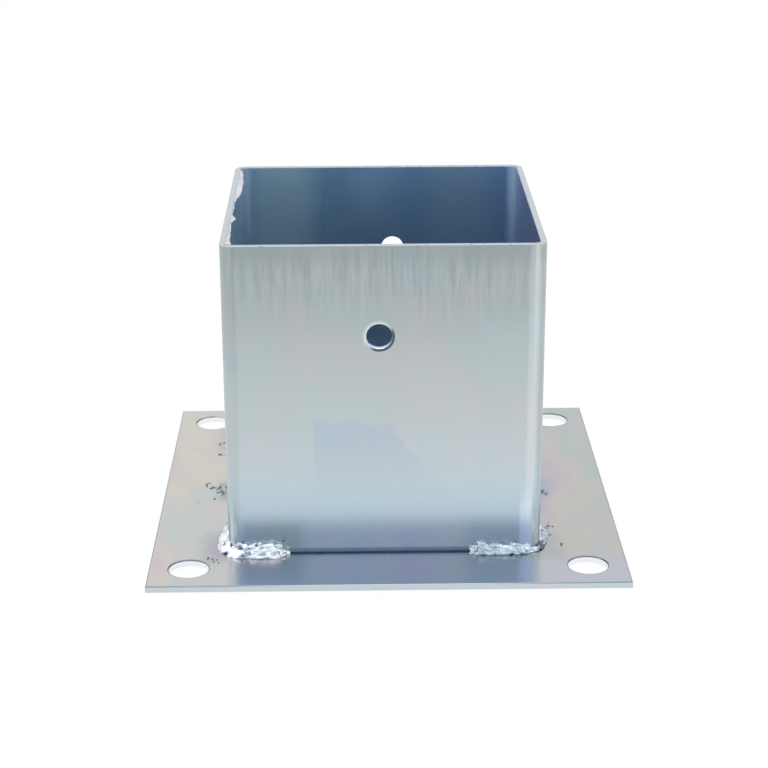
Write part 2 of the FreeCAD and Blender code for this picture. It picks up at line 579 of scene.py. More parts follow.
    def _outer_tints(self, graph: Graph, at: SleevePoint, drift: Value) -> Value:
        """Draws the drifting tints of the outer walls, a painted reflection of the bluish room low on them, and the
        bluer patch.

        Args:
            graph: the material's graph.
            at: the point.
            drift: the broad noise there.

        Returns:
            The tint.
        """
        stops = [(0.30, self.blue), (0.42, self.green), (0.50, self.grey), (0.58, self.warm), (0.72, self.green)]
        tint = graph.ramp(drift, stops)
        # painted reflection of the bluish room, low on the walls
        tint = self.low.over(tint, at.z.fall(*self.low_top))
        tint = self.dusk_reflection.over(tint, at.z.rise(*self.dusk_foot) * at.z.fall(*self.dusk_top))
        blotch = at.x.fall(*self.blotch_side) * at.z.band(*self.blotch_height) * at.behind.fall(*self.face)
        tint = self.blotch.over(tint, blotch)
        return self.blue_patch.over(tint, self._blue_patch_mask(at))

    def _shaded(self, at: SleevePoint, tint: Value, drift: Value) -> Value:
        """Paints shade under the rim, on the bends, above the welds and along the foot, and paints highlights on the
        right bend.

        Args:
            at: the point.
            tint: the tint so far.
            drift: the broad noise there.

        Returns:
            The new tint.
        """
        # painted shade under the rim
        sides = at.in_x.fall(*self.under_sides)
        close, close_sides = self.under_close_shares
        wide, wide_sides = self.under_wide_shares
        under = at.down.fall(*self.under_close) * (close + sides * close_sides)
        under = under + at.down.fall(*self.under_wide) * (wide + sides * wide_sides)
        tint = self.under_rim_shade.over(tint, under)

        front = at.behind.fall(*self.face_and_bends)
        from_right = self.half - at.away
        from_left = at.away + self.half
        # painted highlight: a pale band on the right bend
        tint = self.right_bend_highlight.over(tint, from_right.band(*self.right_bend_highlight_place) * front)
        foot_share, top_share = self.left_bend_shares
        # painted shade on the bends
        right_bend = from_right.fall(*self.right_bend) * front
        left_bend = from_left.fall(*self.left_bend) * front
        left_bend = left_bend * (foot_share + at.z.rise(*self.left_bend_rise) * top_share)
        tint = self.bend.over(tint, right_bend * self.right_bend_share + left_bend)

        # painted shade over the corner welds
        anywhere, left = self.above_weld_shares
        above_weld_mask = at.in_x.fall(*self.above_weld_inner) * at.in_x.rise(*self.above_weld_outer)
        above_weld_mask = above_weld_mask * (at.z + drift.centred() * self.above_weld_ragged).fall(*self.above_weld_top)
        above_weld_mask = above_weld_mask * (anywhere + at.away.fall(*self.heat_left) * left)
        tint = self.above_weld_shade.over(tint, above_weld_mask)
        # painted highlight: a bluish glint low on the right bend
        painted_gleam = from_right.band(*self.gleam_place) * front * at.z.fall(*self.gleam_top)
        tint = self.painted_gleam.over(tint, painted_gleam)
        # painted shadow along the foot
        return self.foot_shade.over(tint, at.z.fall(*self.foot_shade_top))

    def _lipped(self, at: SleevePoint, tint: Value) -> Value:
        """Paints light and shade round the front hole: a highlight on the rolled edge above on the left, a shadow
        below on the right, and a pale lit wall inside.

        Args:
            at: the point.
            tint: the tint so far.

        Returns:
            The new tint.
        """
        middle_x, middle_z, radius = self.hole
        right = at.x - middle_x
        above = at.z - middle_z
        past = (right * right + above * above) ** 0.5 - radius
        face = at.behind.fall(*self.hole_face)
        lean = (above - right) * (0.5 / radius)
        # painted highlight above left, painted shadow below right, painted lit wall inside
        tint = self.hole_highlight.over(tint, past.fall(*self.hole_highlight_reach) * face * lean.rise(*self.hole_highlight_side))
        hole_shadow = past.band(*self.hole_shadow_place) * face * lean.fall(*self.hole_shadow_side)
        tint = self.hole_shadow.over(tint, hole_shadow)
        wall = past.fall(*self.hole_wall_highlight_edge) * at.behind.fall(*self.hole_wall_depth)
        return self.hole_wall_highlight.over(tint, wall)

    def _bored(self, graph: Graph, at: SleevePoint) -> tuple[Value, Value]:
        """Draws the inner walls: deep blue, cloudy, with painted highlights at the bends, dusky on the right and
        grey below.

        Args:
            graph: the material's graph.
            at: the point.

        Returns:
            The tint, and how cloudy the surface is.
        """
        cloud = self.bore_grain.at(at.point)
        drift = at.x + cloud.centred() * self.bore_wander
        pale = drift.band(*self.pale_left) * self.pale_left_share
        pale = pale + drift.band(*self.pale_right) * self.pale_right_share
        pale = pale + cloud.rise(*self.pale_clouds) * self.pale_cloud_share
        tint = graph.blend(pale.at_most(1.0), self.bore, self.bore_pale.colour)
        tint = self.bore_deep.over(tint, at.z.fall(*self.deep_top))
        top_share, right_share = self.rib_shares
        # painted highlight on the inner bends
        ribs = at.in_x.fall(*self.rib_in_x) * at.in_y.fall(*self.rib_in_y)
        ribs = ribs * (at.z.rise(*self.rib_rise) * top_share + at.x.rise(*self.rib_right) * right_share)
        tint = self.rib_highlight.over(tint, ribs)
        tint = self.bore_shade.over(tint, at.x.rise(*self.shade_from) * at.in_y.rise(*self.shade_in_y))
        cloudy = ribs * self.cloudy_rib_share + drift.band(*self.cloudy_left) * self.cloudy_left_share
        return tint, cloudy

    def _height(self, at: SleevePoint, streaks: Value, fine: Value) -> Value:
        """Draws the relief of the outer walls: they ease down to the bends and ripple.

        Args:
            at: the point.
            streaks: how much paler than darker the streaks make it.
            fine: the finest noise there.

        Returns:
            The height in millimetres.
        """
        run_x = (self.ease_from - at.in_x).at_least(0.0) * (1.0 / self.ease_run)
        run_y = (self.ease_from - at.in_y).at_least(0.0) * (1.0 / self.ease_run)
        ease = (run_x * run_x + run_y * run_y).at_most(self.ease_most) * -self.ease_depth
        ripple = self.ripple.at(at.point) * self.ripple_height
        return ease + streaks * self.streak_height + ripple + fine * self.fine_height

    def draw(self, graph: Graph) -> Value:
        """Draws the finish.

        Args:
            graph: the material's graph.

        Returns:
            The shader.
        """
        at = self._measured(graph)
        inside = at.in_x.at_most(at.in_y).rise(*self.skin) * at.down.rise(*self.rim_skin)
        outside = 1.0 - inside
        drift = self.drift.at(at.point)
        fine = self.fine.at(at.point)
        dark, pale = self._streaks(at)
        bore, cloudy = self._bored(graph, at)

        tint = self._outer_tints(graph, at, drift)
        tint = self.streak_pale.over(self.streak_dark.over(tint, dark), pale)
        tint = self._lipped(at, self._shaded(at, tint, drift))
        tint = graph.blend(inside, tint, bore)
        rim = at.down.fall(*self.sawn_depth)
        tint = self.sawn.over(tint, rim)
        tint = self.nick.over(tint, rim * self.nick_grain.at(at.point).rise(*self.nick_rise))

        grain = fine.centred() * self.fine_rough + (dark - pale) * self.streak_rough
        roughness = self.roughness + outside * grain + inside * cloudy * self.cloudy_rough
        height = outside * self._height(at, pale - dark, fine)
        return graph.metal(tint, roughness, graph.bump(height, MM))


@dataclass(frozen=True)
class PlateZinc(Finish):
    """Blue-passivated zinc on rolled sheet: pale, mottled faintly, dark round the welds from burning and painted
    shadow, with painted shade, reflections and highlights elsewhere.

    Lengths are in millimetres, and a span is where a change starts and ends.
    """

    half: float
    top: float
    sleeve: Triple  # x and y of the sleeve's middle, and half its side
    hole: Span  # how far the anchor holes are from the middle each way, and their radius
    name: str = "plate_zinc"
    roughness: float = 0.24

    plain: Colour = (0.565, 0.545, 0.545)
    pink: Colour = (0.590, 0.510, 0.545)
    yellow: Colour = (0.590, 0.570, 0.500)
    green: Colour = (0.500, 0.560, 0.535)
    lavender: Colour = (0.505, 0.495, 0.600)
    drift: Grain = Grain((30.0, 11.0, 20.0), detail=3.0, distortion=0.6)

    # painted shade: the sheet is dimmed towards the right
    dim: Colour = (0.845, 0.865, 0.890)
    dim_right: Span = (10.0, 56.0)
    # painted reflections of the sleeve on the front of the sheet: bluer towards the right, and a faint purplish tint
    # between the corners
    cool_reflection: Wash = Wash((0.460, 0.500, 0.610), 0.6)
    cool_front: Span = (-68.0, -50.0)
    cool_right: Span = (20.0, 60.0)
    mauve_reflection: Wash = Wash((0.415, 0.310, 0.345), 0.2)
    mauve_front: Span = (-56.0, -51.5)
    mauve_width: Triple = (-46.0, 44.0, 4.0)

    shake: Grain = Grain(210.0, detail=3.0)
    # round the welds the sheet darkens, purplish on the left and teal on the right: partly burning from the welding,
    # partly painted shadow of the beads
    burnt_and_shadow: Colour = (0.340, 0.290, 0.390)
    teal_burn_and_shadow: Colour = (0.330, 0.420, 0.420)
    burn_and_shadow_strength: float = 0.6
    burn_and_shadow_reach: Span = (2.0, 11.0)
    burn_and_shadow_ragged: float = 7.0
    burn_and_shadow_corner: Span = (-20.0, -10.0)
    damp_right: Span = (-20.0, 20.0)
    teal_ragged: float = 40.0
    smoke: Wash = Wash((0.330, 0.370, 0.360), 0.8)
    smoke_middle: float = -1.5
    smoke_length: Triple = (-8.0, 8.0, 3.0)
    smoke_reach: Span = (2.5, 9.0)
    smoke_ragged: float = 9.0
    # painted shadow: a dark navy line on the sheet along the sleeve's foot
    seam_shadow: Wash = Wash((0.150, 0.200, 0.290), 0.7)
    seam_reach: Span = (0.3, 1.6)

    # painted highlight: the anchor holes' walls are pale, as if lit
    hole_wall_highlight: Wash = Wash((0.86, 0.88, 0.90))
    hole_wall_highlight_edge: Span = (0.02, 0.10)
    hole_lip: Wash = Wash((0.10, 0.12, 0.14), 0.9)
    hole_lip_place: Triple = (-0.05, 0.42, 0.12)
    lip_depth: Span = (0.2, 0.5)
    lip_breakup_grain: Grain = Grain(120.0)
    lip_breakup_rise: Span = (0.35, 0.55)
    sheared: Wash = Wash((0.570, 0.630, 0.650))
    sheared_in: Span = (0.1, 0.4)
    edge_line: Wash = Wash((0.10, 0.12, 0.14), 0.6)
    edge_line_in: Span = (0.30, 0.45)
    edge_line_depth: Span = (0.2, 0.4)
    edge_line_sides: Span = (20.0, 55.0)

    fine: Grain = Grain(1300.0)
    fine_rough: float = 0.03
    patches: Grain = Grain(90.0, detail=3.0)
    patch_rough: float = 0.08
    patch_depth: float = 0.02

    def _tinted(self, graph: Graph, point: Value, x: Value, y: Value) -> Value:
        """Draws the mottled sheet, with painted shade towards the right and painted reflections of the sleeve at the
        front.

        Args:
            graph: the material's graph.
            point: the point in metres.
            x: its distance right in millimetres.
            y: its distance back in millimetres.

        Returns:
            The tint.
        """
        stops = [(0.26, self.lavender), (0.36, self.plain), (0.43, self.green), (0.50, self.plain),
                 (0.57, self.yellow), (0.66, self.pink), (0.76, self.lavender)]
        tint = graph.ramp(self.drift.at(point), stops)
        # painted shade towards the right
        tint = graph.blend(x.rise(*self.dim_right), tint, self.dim, Mixing.MULTIPLY)
        # painted reflections of the sleeve on the front of the sheet
        tint = self.cool_reflection.over(tint, y.fall(*self.cool_front) * x.rise(*self.cool_right))
        return self.mauve_reflection.over(tint, y.fall(*self.mauve_front) * x.band(*self.mauve_width))

    def _welded(self, graph: Graph, tint: Value, point: Value, x: Value, y: Value) -> Value:
        """Lays on what the welding left round the sleeve, with painted shadow of the beads and along the sleeve's
        foot.

        Args:
            graph: the material's graph.
            tint: the tint so far.
            point: the point in metres.
            x: its distance right in millimetres.
            y: its distance back in millimetres.

        Returns:
            The new tint.
        """
        middle_x, middle_y, half = self.sleeve
        out_x = abs(x - middle_x) - half
        out_y = abs(y - middle_y) - half
        out = out_x.at_least(out_y)
        shake = self.shake.at(point).centred()
        # burning and painted shadow of the beads round the welds
        near = (out + shake * self.burn_and_shadow_ragged).fall(*self.burn_and_shadow_reach)
        near = near * out_x.at_most(out_y).rise(*self.burn_and_shadow_corner)
        right = (x + shake * self.teal_ragged).rise(*self.damp_right)
        burn_and_shadow = graph.blend(right, self.burnt_and_shadow, self.teal_burn_and_shadow)
        tint = graph.blend(near * self.burn_and_shadow_strength, tint, burn_and_shadow)
        beside = (y - self.smoke_middle).band(*self.smoke_length)
        smoke = beside * (out_x + shake * self.smoke_ragged).fall(*self.smoke_reach)
        tint = self.smoke.over(tint, smoke)
        # painted shadow along the sleeve's foot
        return self.seam_shadow.over(tint, out.fall(*self.seam_reach))

    def _punched(self, tint: Value, point: Value, x: Value, y: Value, down: Value) -> Value:
        """Draws the anchor holes' walls with a painted highlight, their dark lips broken up by noise, and the
        sheared edge.

        Args:
            tint: the tint so far.
            point: the point in metres.
            x: its distance right in millimetres.
            y: its distance back in millimetres.
            down: its distance below the upper face in millimetres.

        Returns:
            The new tint.
        """
        hub, radius = self.hole
        hole_x = abs(x) - hub
        hole_y = abs(y) - hub
        past = (hole_x * hole_x + hole_y * hole_y) ** 0.5 - radius
        # painted highlight on the anchor holes' walls
        tint = self.hole_wall_highlight.over(tint, past.fall(*self.hole_wall_highlight_edge) * down.rise(*self.lip_depth))
        lip_breakup = 0.5 + self.lip_breakup_grain.at(point).rise(*self.lip_breakup_rise) * 0.5
        tint = self.hole_lip.over(tint, past.band(*self.hole_lip_place) * down.fall(*self.lip_depth) * lip_breakup)
        inwards = self.half - abs(x).at_least(abs(y))
        tint = self.sheared.over(tint, inwards.fall(*self.sheared_in))
        line = inwards.fall(*self.edge_line_in) * down.fall(*self.edge_line_depth)
        return self.edge_line.over(tint, line * abs(x).rise(*self.edge_line_sides))

    def draw(self, graph: Graph) -> Value:
        """Draws the finish.

        Args:
            graph: the material's graph.

        Returns:
            The shader.
        """
        point = graph.place()
        x, y, z = graph.millimetres(point)
        tint = self._tinted(graph, point, x, y)
        tint = self._welded(graph, tint, point, x, y)
        tint = self._punched(tint, point, x, y, self.top - z)
        patches = self.patches.at(point)
        grain = self.fine.at(point).centred() * self.fine_rough + patches.centred() * self.patch_rough
        return graph.metal(tint, self.roughness + grain, graph.bump(patches, self.patch_depth * MM))


@dataclass(frozen=True)
class WeldZinc(Finish):
    """Zinc over a weld bead: bright ridges with painted shade in the creases and pits between them, and painted
    shade on the right.
    """

    name: str = "weld_zinc"
    bright: Colour = (0.92, 0.95, 0.97)
    shade: Colour = (0.60, 0.66, 0.70)
    # painted shade in the creases and pits
    dark: Wash = Wash((0.07, 0.11, 0.13), 0.95)
    # painted shade: the beads are darkened towards the right
    right_shade: Colour = (0.62, 0.66, 0.71)
    duller_right: Span = (0.0, 15.0)
    clouds: Grain = Grain(230.0)
    cloud_rise: Span = (0.40, 0.62)
    pits: Grain = Grain(420.0, roughness=0.6)
    pit_rise: Span = (0.60, 0.70)
    pit_share: float = 0.55
    fine: Grain = Grain(900.0)
    fine_depth: float = 0.03
    roughness: float = 0.30
    fine_rough: float = 0.1
    pit_rough: float = 0.15

    def draw(self, graph: Graph) -> Value:
        """Draws the finish.

        Args:
            graph: the material's graph.

        Returns:
            The shader.
        """
        point = graph.place()
        x, _, _ = graph.millimetres(point)
        hollow = graph.value("Attribute", {"attribute_name": HOLLOW}, output="Fac")
        tint = graph.blend(self.clouds.at(point).rise(*self.cloud_rise), self.bright, self.shade)
        # painted shade towards the right
        tint = graph.blend(x.rise(*self.duller_right), tint, self.right_shade, Mixing.MULTIPLY)
        # painted shade: darker deep in creases, pits and the void
        deep = (hollow + self.pits.at(point).rise(*self.pit_rise) * self.pit_share).at_most(1.0)
        fine = self.fine.at(point)
        roughness = self.roughness + fine.centred() * self.fine_rough + deep * self.pit_rough
        return graph.metal(self.dark.over(tint, deep), roughness, graph.bump(fine, self.fine_depth * MM))


@dataclass(frozen=True)
class SpatterZinc(Finish):
    """Dull dark grains of weld spatter."""

    name: str = "spatter_zinc"
    dark: Colour = (0.16, 0.19, 0.20)
    light: Colour = (0.50, 0.54, 0.56)
    spots: Grain = Grain(700.0)
    spot_rise: Span = (0.56, 0.68)
    spot_depth: float = 0.03
    roughness: float = 0.45
    spot_rough: float = 0.2

    def draw(self, graph: Graph) -> Value:
        """Draws the finish.

        Args:
            graph: the material's graph.

        Returns:
            The shader.
        """
        spots = self.spots.at(graph.place())
        tint = graph.blend(spots.rise(*self.spot_rise), self.dark, self.light)
        roughness = self.roughness + spots.centred() * self.spot_rough
        return graph.metal(tint, roughness, graph.bump(spots, self.spot_depth * MM))


# ---------------------------------------------------------------- mesh helpers


def new_piece(
    name: str, mesh: bmesh.types.BMesh, finish: Finish, replaced: Iterable[str] = ()
) -> bpy.types.Object:
    """Turns a finished bmesh into a piece of the object.

    Args:
        name: the piece's name.
        mesh: its shape, in the row frame; it is freed here.
        finish: its finish.
        replaced: the solids that the piece stands for.

    Returns:
        The new object.
    """
    data = bpy.data.meshes.new(name)
    mesh.to_mesh(data)
    mesh.free()
    data.materials.append(finish.material())
    piece = bpy.data.objects.new(name, data)
    bpy.context.scene.collection.objects.link(piece)
    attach(piece, BODY)
    if replaced:
        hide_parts(*replaced)
    LOG.info("%s: %d faces", name, len(data.polygons))
    return piece


def finished_by(piece: bpy.types.Object, add: Sequence[tuple[str, dict[str, object]]]) -> None:
    """Puts modifiers on a piece and applies them.

    Args:
        piece: the object.
        add: modifier types with their settings, in order.
    """
    for kind, settings in add:
        modifier = piece.modifiers.new(kind.lower(), kind)
        for name, setting in settings.items():
            setattr(modifier, name, setting)
    seen = bpy.context.evaluated_depsgraph_get()
    done = bpy.data.meshes.new_from_object(piece.evaluated_get(seen), preserve_all_data_layers=True, depsgraph=seen)
    piece.modifiers.clear()
    old = piece.data
    piece.data = done
    name = old.name
    bpy.data.meshes.remove(old)
    done.name = name


def loose(mesh: bmesh.types.BMesh) -> bpy.types.Object:
    """Lends a mesh to a passing object while modifiers work on it.

    Args:
        mesh: the mesh; it is freed here.

    Returns:
        The passing object.
    """
    data = bpy.data.meshes.new("loose")
    mesh.to_mesh(data)
    mesh.free()
    made = bpy.data.objects.new("loose", data)
    bpy.context.scene.collection.objects.link(made)
    return made


def taken_back(body: bpy.types.Object) -> bmesh.types.BMesh:
    """Takes the mesh back from a passing object.

    Args:
        body: the passing object; it is removed here.

    Returns:
        Its mesh.
    """
    mesh = bmesh.new()
    data = body.data
    mesh.from_mesh(data)
    bpy.data.objects.remove(body)
    bpy.data.meshes.remove(data)
    return mesh


def cut(mesh: bmesh.types.BMesh, tool: bmesh.types.BMesh) -> bmesh.types.BMesh:
    """Cuts one closed mesh with another.

    Args:
        mesh: the mesh to cut; it is freed here.
        tool: the mesh that cuts it; it is freed here.

    Returns:
        What is left.
    """
    body = loose(mesh)
    knife = loose(tool)
    finished_by(body, [("BOOLEAN", {"operation": "DIFFERENCE", "solver": "EXACT", "object": knife})])
    left = taken_back(body)
    taken_back(knife).free()
    bmesh.ops.remove_doubles(left, verts=left.verts, dist=NEAR)
    bmesh.ops.dissolve_degenerate(left, edges=left.edges, dist=NEAR)
    return left


def melted(mesh: bmesh.types.BMesh, voxel: float) -> bmesh.types.BMesh:
    """Runs overlapping bodies into one smooth skin.

    Args:
        mesh: the bodies; it is freed here.
        voxel: the size of the skin's faces.

    Returns:
        The skin.
    """
    body = loose(mesh)
    finished_by(body, [("REMESH", {"mode": "VOXEL", "voxel_size": voxel}),
                       ("SMOOTH", {"factor": 0.5, "iterations": 2})])
    return taken_back(body)


def block(low: Vector, high: Vector) -> bmesh.types.BMesh:
    """Makes a closed box.

    Args:
        low: its lowest corner.
        high: its highest corner.

    Returns:
        The box.
    """
    mesh = bmesh.new()
    place = Matrix.Translation((low + high) / 2) @ Matrix.Diagonal((*(high - low), 1.0))
    bmesh.ops.create_cube(mesh, size=1.0, matrix=place)
    return mesh


def drill(mesh: bmesh.types.BMesh, place: Matrix, radius: float, length: float, segments: int) -> None:
    """Adds a closed cylinder that cuts a round hole.

    Args:
        mesh: the mesh that gains the cylinder.
        place: where its middle lies and which way its Z axis points.
        radius: its radius.
        length: its length.
        segments: its number of sides.
    """
    bmesh.ops.create_cone(
        mesh, cap_ends=True, segments=segments, radius1=radius, radius2=radius, depth=length, matrix=place
    )


def round_edges(mesh: bmesh.types.BMesh, edges: Iterable[bmesh.types.BMEdge], width: float, segments: int) -> None:
    """Rounds edges with a bevel.

    Args:
        mesh: the mesh they belong to.
        edges: the edges.
        width: how far the bevel reaches from each.
        segments: its number of steps.
    """
    bmesh.ops.bevel(
        mesh,
        geom=list(edges),
        offset=width,
        offset_type="OFFSET",
        affect="EDGES",
        segments=segments,
        profile=0.5,
        material=-1,
        clamp_overlap=True,
    )


def at_height(edge: bmesh.types.BMEdge, height: float) -> bool:
    """Whether both ends of an edge lie at a height."""
    return all(abs(vert.co.z - height) < NEAR for vert in edge.verts)


def meets_upright(edge: bmesh.types.BMEdge) -> bool:
    """Whether one of the faces at an edge stands more upright than level."""
    return any(abs(face.normal.z) < 0.5 for face in edge.link_faces)


def shade_by_angle(piece: bpy.types.Object, degrees: float) -> None:
    """Smooths a piece's shading, and keeps its flat faces flat.

    Args:
        piece: the object.
        degrees: edges sharper than this stay sharp.
    """
    data = piece.data
    data.polygons.foreach_set("use_smooth", [True] * len(data.polygons))
    data.set_sharp_from_angle(angle=math.radians(degrees))
    finished_by(piece, [("WEIGHTED_NORMAL", {"mode": "FACE_AREA", "weight": 50, "keep_sharp": True})])


def smooth(mesh: bmesh.types.BMesh) -> None:
    """Smooths the shading of every face."""
    for face in mesh.faces:
        face.smooth = True


def mounts_named(*names: str) -> list[dict]:
    """The record's mounts of the given names."""
    return [mount for mount in frame["record"]["mounts"] if mount["name"] in names]


# ---------------------------------------------------------------- anchor plate


@dataclass
class AnchorPlate:
    """Sheared square plate with a punched anchor hole near each corner."""

    low: Vector
    high: Vector
    hole_radius: float = 0.0
    hole_reach: float = 0.0
    rim_roll: float = 0.35 * MM
    edge_roll: float = 0.3 * MM
    roll_steps: int = 3
    hole_segments: int = 96
    side_at_least: float = 100 * MM  # edges longer than this bound the plate
    arc_at_most: float = 2 * MM  # edges shorter than this bound a hole
    sharp: float = 40.0
    slot: str = "plate_zinc"

    def __post_init__(self) -> None:
        """Takes the hole pattern from the record."""
        pattern = mounts_named("anchor_holes")[0]["dims"]
        self.hole_radius = pattern["hole_r_mm"] * MM
        self.hole_reach = pattern["spacing_x_mm"] * MM / 2

    def _punched(self) -> bmesh.types.BMesh:
        """Punches the plate.

        Returns:
            The plate with its four holes, sharp-edged.
        """
        punches = bmesh.new()
        for x in (-self.hole_reach, self.hole_reach):
            for y in (-self.hole_reach, self.hole_reach):
                place = Matrix.Translation((x, y, self.high.z / 2))
                drill(punches, place, self.hole_radius, 4 * self.high.z, self.hole_segments)
        return cut(block(self.low, self.high), punches)

    def build(self) -> bpy.types.Object:
        """Builds the plate.

        Returns:
            The plate's object.
        """
        mesh = self._punched()
        rims = [edge for edge in mesh.edges if at_height(edge, self.high.z) and meets_upright(edge)
                and edge.calc_length() < self.arc_at_most and len(edge.link_faces) == 2]
        round_edges(mesh, rims, self.rim_roll, self.roll_steps)
        outline = [edge for edge in mesh.edges if at_height(edge, self.high.z)
                   and edge.calc_length() > self.side_at_least]
        round_edges(mesh, outline, self.edge_roll, self.roll_steps)
        sleeve_low, sleeve_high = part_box("sleeve")
        middle = (sleeve_low + sleeve_high) / 2
        finish = PlateZinc(
            half=(self.high.x - self.low.x) / 2 / MM,
            top=self.high.z / MM,
            sleeve=(middle.x / MM, middle.y / MM, (sleeve_high.x - sleeve_low.x) / 2 / MM),
            hole=(self.hole_reach / MM, self.hole_radius / MM),
        )
        plate = new_piece("anchor_plate", mesh, finish, ["base_plate"])
        shade_by_angle(plate, self.sharp)
        return plate


# ---------------------------------------------------------------- sleeve


@dataclass
class PostSleeve:
    """Sawn square tube with rounded corners, screw holes and a relieved foot."""

    low: Vector
    high: Vector
    wall: float = 2.0 * MM
    corner: float = 4.0 * MM
    corner_steps: int = 12
    foot_seat: float = 14.0 * MM
    foot_gap: float = 0.9 * MM
    foot_cutter: float = 200 * MM
    rim_break: float = 0.22 * MM
    rim_steps: int = 2
    hole_roll: float = 0.60 * MM
    hole_roll_steps: int = 5
    hole_segments: int = 72
    hole_depth: float = 20 * MM
    upright_at_least: float = 50 * MM  # edges that climb more than this are the tube's corners
    on_lip: float = 0.02 * MM
    sharp: float = 35.0
    slot: str = "sleeve_zinc"

    def _tube(self) -> bmesh.types.BMesh:
        """Draws the tube.

        Returns:
            The closed square tube.
        """
        mesh = block(self.low, self.high)
        upright = [e for e in mesh.edges if abs(e.verts[0].co.z - e.verts[1].co.z) > self.upright_at_least]
        round_edges(mesh, upright, self.corner, self.corner_steps)
        ends = [face for face in mesh.faces if abs(face.normal.z) > 0.5]
        bmesh.ops.delete(mesh, geom=ends, context="FACES_ONLY")
        bmesh.ops.recalc_face_normals(mesh, faces=mesh.faces)
        bmesh.ops.solidify(mesh, geom=mesh.faces[:], thickness=self.wall)
        bmesh.ops.recalc_face_normals(mesh, faces=mesh.faces)
        return mesh

    def _tools(self) -> bmesh.types.BMesh:
        """Makes the drills, and the blocks that relieve the foot between its corners.

        Returns:
            One mesh that holds them all.
        """
        tools = bmesh.new()
        for mount in mounts_named("front_screw_hole", "rear_screw_hole"):
            turn = Vector(mount["axis"]).to_track_quat("Z", "X").to_matrix().to_4x4()
            place = Matrix.Translation(mount["pos_m"]) @ turn
            drill(tools, place, mount["dims"]["r_mm"] * MM, self.hole_depth, self.hole_segments)
        middle = (self.low + self.high) / 2
        for along in (0, 1):
            size = Vector((self.foot_cutter, self.foot_cutter, 2 * self.foot_gap))
            size[along] = (self.high - self.low)[along] - 2 * self.foot_seat
            place = Matrix.Translation((middle.x, middle.y, self.low.z)) @ Matrix.Diagonal((*size, 1.0))
            bmesh.ops.create_cube(tools, size=1.0, matrix=place)
        return tools

    def build(self) -> bpy.types.Object:
        """Builds the sleeve.

        Returns:
            The sleeve's object.
        """
        mesh = self._tube()
        for tool in self._split(self._tools()):
            mesh = cut(mesh, tool)
        rim = [edge for edge in mesh.edges if at_height(edge, self.high.z) and meets_upright(edge)]
        round_edges(mesh, rim, self.rim_break, self.rim_steps)
        round_edges(mesh, self._hole_lips(mesh), self.hole_roll, self.hole_roll_steps)
        middle = (self.low + self.high) / 2
        hole = mounts_named("front_screw_hole")[0]
        finish = SleeveZinc(
            middle=(middle.x / MM, middle.y / MM),
            half=(self.high.x - self.low.x) / 2 / MM,
            top=self.high.z / MM,
            hole=(hole["pos_m"][0] / MM, hole["pos_m"][2] / MM, hole["dims"]["r_mm"]),
        )
        sleeve = new_piece("post_sleeve", mesh, finish, ["sleeve"])
        shade_by_angle(sleeve, self.sharp)
        return sleeve

    def _hole_lips(self, mesh: bmesh.types.BMesh) -> list[bmesh.types.BMEdge]:
        """Finds the outer edges of the screw holes.

        Args:
            mesh: the drilled tube.

        Returns:
            The edges.
        """
        lips = []
        for mount in mounts_named("front_screw_hole", "rear_screw_hole"):
            radius = mount["dims"]["r_mm"] * MM
            x, _, z = mount["pos_m"]
            face = self.low.y if mount["axis"][1] < 0 else self.high.y
            for edge in mesh.edges:
                if all(abs(v.co.y - face) < NEAR and abs(math.hypot(v.co.x - x, v.co.z - z) - radius) < self.on_lip
                       for v in edge.verts):
                    lips.append(edge)
        return lips

    @staticmethod
    def _split(tools: bmesh.types.BMesh) -> list[bmesh.types.BMesh]:
        """Parts a mesh of loose bodies.

        Args:
            tools: the mesh; it is freed here.

        Returns:
            One mesh for each body.
        """
        parts = []
        left = set(tools.verts)
        while left:
            start = left.pop()
            island = {start}
            front = [start]
            while front:
                for edge in front.pop().link_edges:
                    for vert in edge.verts:
                        if vert in left:
                            left.discard(vert)
                            island.add(vert)
                            front.append(vert)
            part = tools.copy()
            part.verts.ensure_lookup_table()
            keep = {vert.index for vert in island}
            bmesh.ops.delete(part, geom=[vert for vert in part.verts if vert.index not in keep], context="VERTS")
            parts.append(part)
        tools.free()
        return parts


# ---------------------------------------------------------------- welds


